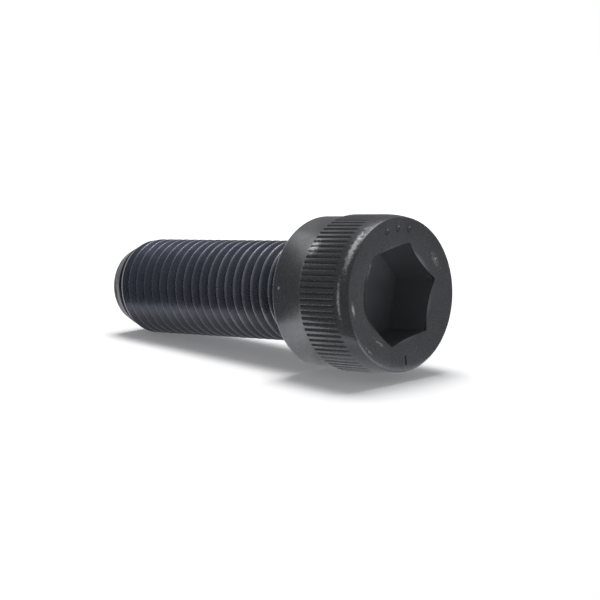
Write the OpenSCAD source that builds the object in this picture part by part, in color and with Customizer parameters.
// Hex socket head cap screw, lying on a level floor as it comes to rest: on the
// rim of its bearing face and on the last full turn of its thread.
// The origin is the centre of the bearing face under the head. +Z is up, and the
// shank runs along +Y and leans down to the floor.

/* [Head] */
// Diameter of the head over its knurl
head_d = 24.3; // [22:0.1:28]
// Height of the head above its bearing face
head_h = 16; // [14:0.5:20]
// Length over which the rounded shoulder draws the head in
shoulder_h = 3.4; // [1:0.1:5]
// Slope that the shoulder has reached where the edge of the top begins
shoulder_angle = 14; // [5:1:30]
// Rounding of the edge around the top of the head
edge_r = 0.4; // [0.2:0.05:0.8]
// Rounding of the edge around the bearing face
rim_r = 0.3; // [0.1:0.05:0.6]

/* [Knurl] */
// Number of grooves around the head
knurl_n = 81; // [60:1:90]
// How far the crests of the knurl stand above the smooth band
knurl_rise = 0.3; // [0.1:0.05:0.4]
// How far the grooves of the knurl go below the smooth band
knurl_cut = 0.1; // [0.05:0.05:0.3]
// Width of each groove at the crests
knurl_w = 0.66; // [0.3:0.01:0.7]
// Length of the smooth band between the bearing face and the knurl
knurl_band = 5.8; // [1:0.1:7]
// Distance from the knurl to the top of the head
knurl_end = 1.9; // [1.5:0.1:5]
// Length over which a groove runs out at each of its ends
knurl_run = 0.5; // [0.2:0.1:1.5]

/* [Socket] */
// Size of the hexagon across its flats
socket_af = 14.1; // [12:0.1:14.5]
// Depth of the hexagon below the top of the head
socket_depth = 8.3; // [5:0.1:10]
// Diameter of the countersink at the top of the head
sink_d = 17.2; // [17.2:0.1:18]
// Full angle of the countersink
sink_angle = 120; // [80:5:120]
// How far a corner of the hexagon is turned from straight up
socket_turn = 19; // [0:1:59]

/* [Shank and thread] */
// Outer diameter of the thread
thread_d = 16; // [14:0.5:17]
// Distance from one turn of the thread to the next
pitch = 2; // [1.5:0.25:2.5]
// Length of the shank below the bearing face
shank_l = 45; // [25:1:80]
// Plain neck between the bearing face and the thread
neck_l = 2; // [1.5:0.1:6]
// Radius of the fillet between the neck and the bearing face
fillet_r = 0.8; // [0.2:0.1:1.2]
// Length of the tapered tip
tip_l = 4.5; // [1:0.5:6]
// Diameter of the flat end of the tip
tip_d = 12.4; // [8:0.1:13]

/* [Stamped marks] */
// Depth of the stamped marks in the top of the head
mark_depth = 0.25; // [0.1:0.05:0.5]
// Diameter of each of the punched dots
dot_d = 1; // [0.5:0.1:1.2]
// Number of punched dots
dot_n = 3; // [1:1:5]
// Angle between neighbouring dots
dot_step = 14; // [10:1:20]
// Length of the radial tick opposite the dots
tick_l = 1.7; // [1:0.1:1.8]
// Width of the radial tick
tick_w = 0.35; // [0.2:0.05:0.6]

/* [Hidden] */
$fn = 96;
over = 1;                    // how far a cutter passes a face that it opens
seam_turn = 93;              // where the round faces begin, just past the floor side
head_r = head_d / 2;
band_r = head_r - knurl_rise;
groove_r = band_r - knurl_cut;
sink_r = sink_d / 2;

// The shoulder is an arc from the side of the head, and a tighter arc blends it into
// the flat top.
shoulder_r = (shoulder_h - edge_r * (1 - sin(shoulder_angle))) / sin(shoulder_angle);
top_r = head_r - shoulder_r * (1 - cos(shoulder_angle)) - edge_r * cos(shoulder_angle);
mark_r = (top_r + sink_r) / 2;
shoulder_steps = 6;
edge_steps = 5;

// A metric thread: flanks 60 degrees apart, a crest of an eighth of the pitch and
// a root of a sixth. The neck keeps the pitch diameter of the rolled blank.
thread_r = thread_d / 2;
thread_depth = 0.6134 * pitch;
crest_w = pitch / 8;
root_w = pitch / 6;
neck_r = thread_r - 0.3248 * pitch;
turn_steps = 24;             // steps in one turn of the thread
full_l = shank_l - tip_l;    // where the full thread ends

// The floor is the line that touches the rounded rim and the end of the full thread.
rim_to_tip = [full_l + rim_r, band_r - rim_r - thread_r];
lean = atan2(rim_to_tip[1], rim_to_tip[0]) + asin(rim_r / norm(rim_to_tip));

// In the screw's own frame its axis is Z, the bearing face is at zero and the tip
// is up, so that the top of the head is at -head_h. The floor is on the +Y side.

// Half of the head's section, from the flat top to the smooth band.
module head_section() {
    edge = [
        for (i = [0 : edge_steps])
            let (a = 90 - (90 - shoulder_angle) * i / edge_steps)
            [top_r + edge_r * cos(a), edge_r * (1 - sin(a)) - head_h]
    ];
    shoulder = [
        for (i = [1 : shoulder_steps])
            let (a = shoulder_angle * (1 - i / shoulder_steps))
            [head_r - shoulder_r * (1 - cos(a)), shoulder_h - head_h - shoulder_r * sin(a)]
    ];
    band = [[head_r, -knurl_band - knurl_run], [band_r, -knurl_band], [band_r, -rim_r]];
    polygon(concat([[0, -rim_r], [0, -head_h]], edge, shoulder, band));
    translate([0, -rim_r]) square([band_r - rim_r, rim_r]);
    translate([band_r - rim_r, -rim_r]) circle(rim_r);
}

// Half of the shank's section, with the fillet that joins it to the bearing face.
module shank_section() {
    polygon([
        [0, -rim_r], [neck_r, -rim_r], [neck_r, neck_l],
        [thread_r, neck_l + thread_r - neck_r], [thread_r, full_l],
        [tip_d / 2, shank_l], [0, shank_l]
    ]);
    difference() {
        translate([neck_r, -rim_r]) square([fillet_r, fillet_r + rim_r]);
        translate([neck_r + fillet_r, fillet_r]) circle(fillet_r);
    }
}

// The groove between the turns of the thread, as one solid swept along a
// right-handed helix. It deepens over its first turn and runs out past the tip. Its
// turn is set so that a crest ends at the floor where the full thread ends.
module thread_groove() {
    clear_r = thread_r + 0.06 * pitch;
    turns = (shank_l + pitch - neck_l) / pitch;
    start_turn = 90 - 360 * (full_l + (pitch - crest_w) / 2 - neck_l) / pitch;
    last = round(turns * turn_steps);
    sections = [
        for (i = [0 : last])
            let (
                deep = min(1, i / turn_steps) * thread_depth,
                a = start_turn + 360 * i / turn_steps,
                z = neck_l + pitch * i / turn_steps,
                inner = root_w / 2,
                outer = inner + (clear_r - thread_r + deep) * tan(30)
            )
            each [
                on_helix(thread_r - deep, a, z - inner),
                on_helix(thread_r - deep, a, z + inner),
                on_helix(clear_r, a, z + outer),
                on_helix(clear_r, a, z - outer)
            ]
    ];
    sides = [
        for (i = [0 : last - 1], k = [0 : 3])
            let (a = 4 * i + k, b = 4 * i + (k + 1) % 4)
            each [[a, b, b + 4], [a, b + 4, a + 4]]
    ];
    ends = [[0, 1, 2, 3], [for (k = [3 : -1 : 0]) 4 * last + k]];
    polyhedron(sections, concat(sides, ends), convexity = 10);
}
function on_helix(r, a, z) = [r * cos(a), r * sin(a), z];

// A ring of V grooves with straight walls, whose ends ramp out to the surface. The
// walls of neighbouring grooves meet at meet_r, just clear of the head.
module knurl() {
    knurl_top = knurl_end - head_h;
    step = 360 / knurl_n;
    slope = knurl_w / 2 / (knurl_rise + knurl_cut);
    meet_r = groove_r * slope / (slope - tan(step / 2)) / cos(step / 2);
    difference() {
        translate([0, 0, knurl_top])
            linear_extrude(-knurl_band - knurl_top)
                difference() {
                    circle(head_r + over);
                    polygon([
                        for (i = [0 : knurl_n - 1])
                            each [polar(groove_r, step * i), polar(meet_r, step * (i + 0.5))]
                    ]);
                }
        run_out(-knurl_band - knurl_run, -knurl_band);
        run_out(knurl_top + knurl_run, knurl_top);
    }
}
function polar(r, a) = [r * cos(a), r * sin(a)];

// The cone that a groove climbs, from its root at z_root to the crests at z_end.
module run_out(z_root, z_end) {
    z_past = z_end + sign(z_end - z_root) * over;
    rotate_extrude()
        polygon([
            [0, z_root], [groove_r, z_root], [head_r, z_end], [head_r + over, z_end],
            [head_r + over, z_past], [0, z_past]
        ]);
}

// The hexagonal socket and its countersink, a cone that ends inside the hexagon.
module socket() {
    inner_r = socket_af / 2 - over / 2;
    sink_h = (sink_r - inner_r) / tan(sink_angle / 2);
    rotate([0, 0, socket_turn - 90])
        translate([0, 0, -head_h - over])
            cylinder(h = socket_depth + over, d = socket_af / cos(30), $fn = 6);
    translate([0, 0, -head_h])
        cylinder(h = sink_h, r1 = sink_r, r2 = inner_r);
}

// Punched dots at the top of the face and a radial tick at the bottom.
module marks() {
    translate([0, 0, -head_h - over]) {
        for (i = [0 : dot_n - 1])
            rotate([0, 0, -90 + dot_step * (i - (dot_n - 1) / 2)])
                translate([mark_r, 0, 0])
                    cylinder(h = mark_depth + over, d = dot_d);
        translate([-tick_w / 2, mark_r - tick_l / 2, 0])
            cube([tick_w, tick_l, mark_depth + over]);
    }
}

module cap_screw() {
    color("#3b3c40")
        rotate([-90 - lean, 0, 0])
            difference() {
                rotate([0, 0, seam_turn])
                    rotate_extrude() {
                        head_section();
                        shank_section();
                    }
                thread_groove();
                knurl();
                socket();
                marks();
            }
}

cap_screw();
